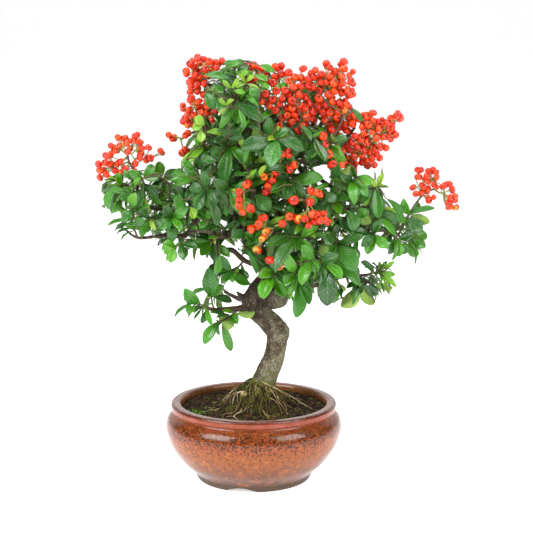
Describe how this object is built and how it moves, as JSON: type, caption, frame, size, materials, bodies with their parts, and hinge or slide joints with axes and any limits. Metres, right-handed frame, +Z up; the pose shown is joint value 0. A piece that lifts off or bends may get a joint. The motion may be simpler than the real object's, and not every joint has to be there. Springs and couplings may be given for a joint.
{
  "type": "narrowleaf firethorn bonsai in a glazed clay pot",
  "caption": "Potted narrowleaf firethorn bonsai: S-curved trunk on a skirt of surface roots, leafy shoots with orange-red berry clusters, round glazed bowl on a low foot ring.",
  "frame": {"origin": "centre of the whole plant's box, on the surface that the pot stands on", "axes": "+Z up along the plant's height, -Y towards the front of the plant, +X to its right as seen from in front"},
  "size_m": [0.3006, 0.1806, 0.3573],
  "materials": {
    "pot": "gloss copper-brown glaze, dark speckles",
    "soil": "loose crumbly soil with moss",
    "wood": "grey-brown mottled bark, mossy roots",
    "leaf": "glossy deep green leaf",
    "berry": "smooth orange-red berry skin"
  },
  "bodies": {
    "root": {"berries_backLeft": "berry", "berries_backRight": "berry", "berries_crownLeft": "berry", "berries_crownRight": "berry", "berries_farLeft": "berry", "berries_farRight": "berry", "berries_frontFarHub": "berry", "berries_frontHub": "berry", "berries_frontRightHub": "berry", "berries_right": "berry", "berries_topLeft": "berry", "berries_topMiddle": "berry", "berries_upLeft": "berry", "pot": "pot", "shoot_backLeftTip": "leaf", "shoot_backLowTip": "leaf", "shoot_backMiddleSide": "leaf", "shoot_backMiddleTip": "leaf", "shoot_backRightTip": "leaf", "shoot_backUpLeftTip": "leaf", "shoot_backUpRightTip": "leaf", "shoot_farLeftDrop": "leaf", "shoot_farLeftRise": "leaf", "shoot_farRightShoot": "leaf", "shoot_forkRightFront": "leaf", "shoot_frontFarTip": "leaf", "shoot_frontHighTip": "leaf", "shoot_frontHubLeft": "leaf", "shoot_frontLeftTip": "leaf", "shoot_frontLowLeft": "leaf", "shoot_frontLowMiddle": "leaf", "shoot_frontLowRight": "leaf", "shoot_frontRightDark": "leaf", "shoot_highLeftFront": "leaf", "shoot_highLeftTip": "leaf", "shoot_knotLow": "leaf", "shoot_knotTip": "leaf", "shoot_longLeftLow": "leaf", "shoot_longLeftTip": "leaf", "shoot_lowBackLeftTip": "leaf", "shoot_lowLeftFan": "leaf", "shoot_lowLeftShoot": "leaf", "shoot_lowLeftTip": "leaf", "shoot_lowRightHang": "leaf", "shoot_lowRightTip": "leaf", "shoot_mainRightLow": "leaf", "shoot_mainRightMiddle": "leaf", "shoot_mainRightOuter": "leaf", "shoot_mainRightTip": "leaf", "shoot_midLeftHang": "leaf", "shoot_midLeftTip": "leaf", "shoot_midRightFront": "leaf", "shoot_topShoot": "leaf", "shoot_trunkHighFront": "leaf", "shoot_trunkTopFront": "leaf", "shoot_upLeftFront": "leaf", "shoot_upperRightFront": "leaf", "shoot_youngRight": "leaf", "soil": "soil", "trunk": "wood"}
  },
  "joints": []
}
